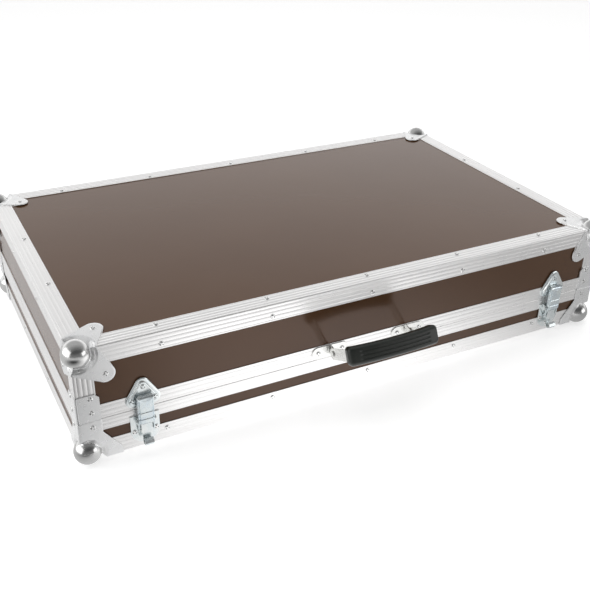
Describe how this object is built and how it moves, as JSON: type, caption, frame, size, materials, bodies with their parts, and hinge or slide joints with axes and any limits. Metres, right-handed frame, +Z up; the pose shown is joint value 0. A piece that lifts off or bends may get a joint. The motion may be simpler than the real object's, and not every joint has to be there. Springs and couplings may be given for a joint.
{
  "type": "keyboard flight case",
  "caption": "Low rectangular flight case with a hinged lid, ball corners, draw latches on the front and a folding carrying handle.",
  "frame": {"origin": "on the floor, at the centre of the four lower ball corners that the closed case stands on", "axes": "+X to the right along the front, +Y from the latched front to the hinged back, +Z up"},
  "size_m": [0.996, 0.6943, 0.213],
  "materials": {
    "plywood": "smooth dark brown phenolic film on plywood, glossy",
    "extrusion": "satin drawn aluminium with fine lengthwise lines",
    "corner_steel": "bright zinc-plated pressed steel",
    "foam": "matt charcoal open-cell foam",
    "claw_zinc": "bluish zinc plating, satin",
    "latch_zinc": "zinc plating, satin",
    "hinge_steel": "zinc-plated steel",
    "strap_steel": "zinc-plated steel strap",
    "bracket_steel": "zinc-plated steel",
    "grip_plastic": "black moulded plastic, semi-matt"
  },
  "bodies": {
    "base": {"base_bottom_panel": "plywood", "base_corner_posts": "extrusion", "base_foam_lining": "foam", "base_ball_corners": "corner_steel", "hinge_leaves_base": "hinge_steel", "latch_base_plates": "latch_zinc", "base_wall_front": "plywood", "base_wall_back": "plywood", "base_wall_left": "plywood", "base_wall_right": "plywood", "base_edge_front": "extrusion", "base_edge_back": "extrusion", "base_edge_left": "extrusion", "base_edge_right": "extrusion", "base_closure_front": "extrusion", "base_closure_back": "extrusion", "base_closure_left": "extrusion", "base_closure_right": "extrusion"},
    "lid": {"lid_top_panel": "plywood", "lid_corner_posts": "extrusion", "lid_foam_lining": "foam", "lid_ball_corners": "corner_steel", "lid_corner_braces": "corner_steel", "hinge_leaves_lid": "hinge_steel", "latch_keepers": "latch_zinc", "handle_brackets": "bracket_steel", "lid_wall_front": "plywood", "lid_wall_back": "plywood", "lid_wall_left": "plywood", "lid_wall_right": "plywood", "lid_edge_front": "extrusion", "lid_edge_back": "extrusion", "lid_edge_left": "extrusion", "lid_edge_right": "extrusion", "lid_closure_front": "extrusion", "lid_closure_back": "extrusion", "lid_closure_left": "extrusion", "lid_closure_right": "extrusion"},
    "handle": {"handle_strap": "strap_steel", "handle_grip": "grip_plastic"},
    "latch_lever_left": {"latch_lever_left": "latch_zinc"},
    "latch_claw_left": {"latch_claw_left": "claw_zinc"},
    "latch_lever_right": {"latch_lever_right": "latch_zinc"},
    "latch_claw_right": {"latch_claw_right": "claw_zinc"}
  },
  "joints": [
    {"name": "lid_hinge", "type": "hinge", "parent": "base", "child": "lid", "pos_m": [0, 0.304, 0.08], "axis": [-1, 0, 0], "range_deg": [0, 100]},
    {"name": "handle_swing", "type": "hinge", "parent": "lid", "child": "handle", "pos_m": [0, -0.311, 0.092], "axis": [-1, 0, 0], "range_deg": [-105, 50]},
    {"name": "latch_lever_left_turn", "type": "hinge", "parent": "base", "child": "latch_lever_left", "pos_m": [-0.39, -0.3045, 0.062], "axis": [-1, 0, 0], "range_deg": [0, 95]},
    {"name": "latch_claw_left_turn", "type": "hinge", "parent": "latch_lever_left", "child": "latch_claw_left", "pos_m": [-0.39, -0.3039, 0.044], "axis": [-1, 0, 0], "range_deg": [-105.5, 0]},
    {"name": "latch_lever_right_turn", "type": "hinge", "parent": "base", "child": "latch_lever_right", "pos_m": [0.39, -0.3045, 0.062], "axis": [-1, 0, 0], "range_deg": [0, 95]},
    {"name": "latch_claw_right_turn", "type": "hinge", "parent": "latch_lever_right", "child": "latch_claw_right", "pos_m": [0.39, -0.3039, 0.044], "axis": [-1, 0, 0], "range_deg": [-105.5, 0]}
  ],
  "couplings": [
    {"joint": "latch_claw_left_turn", "follows": "latch_lever_left_turn", "ratio": -1.1},
    {"joint": "latch_claw_right_turn", "follows": "latch_lever_right_turn", "ratio": -1.1}
  ]
}
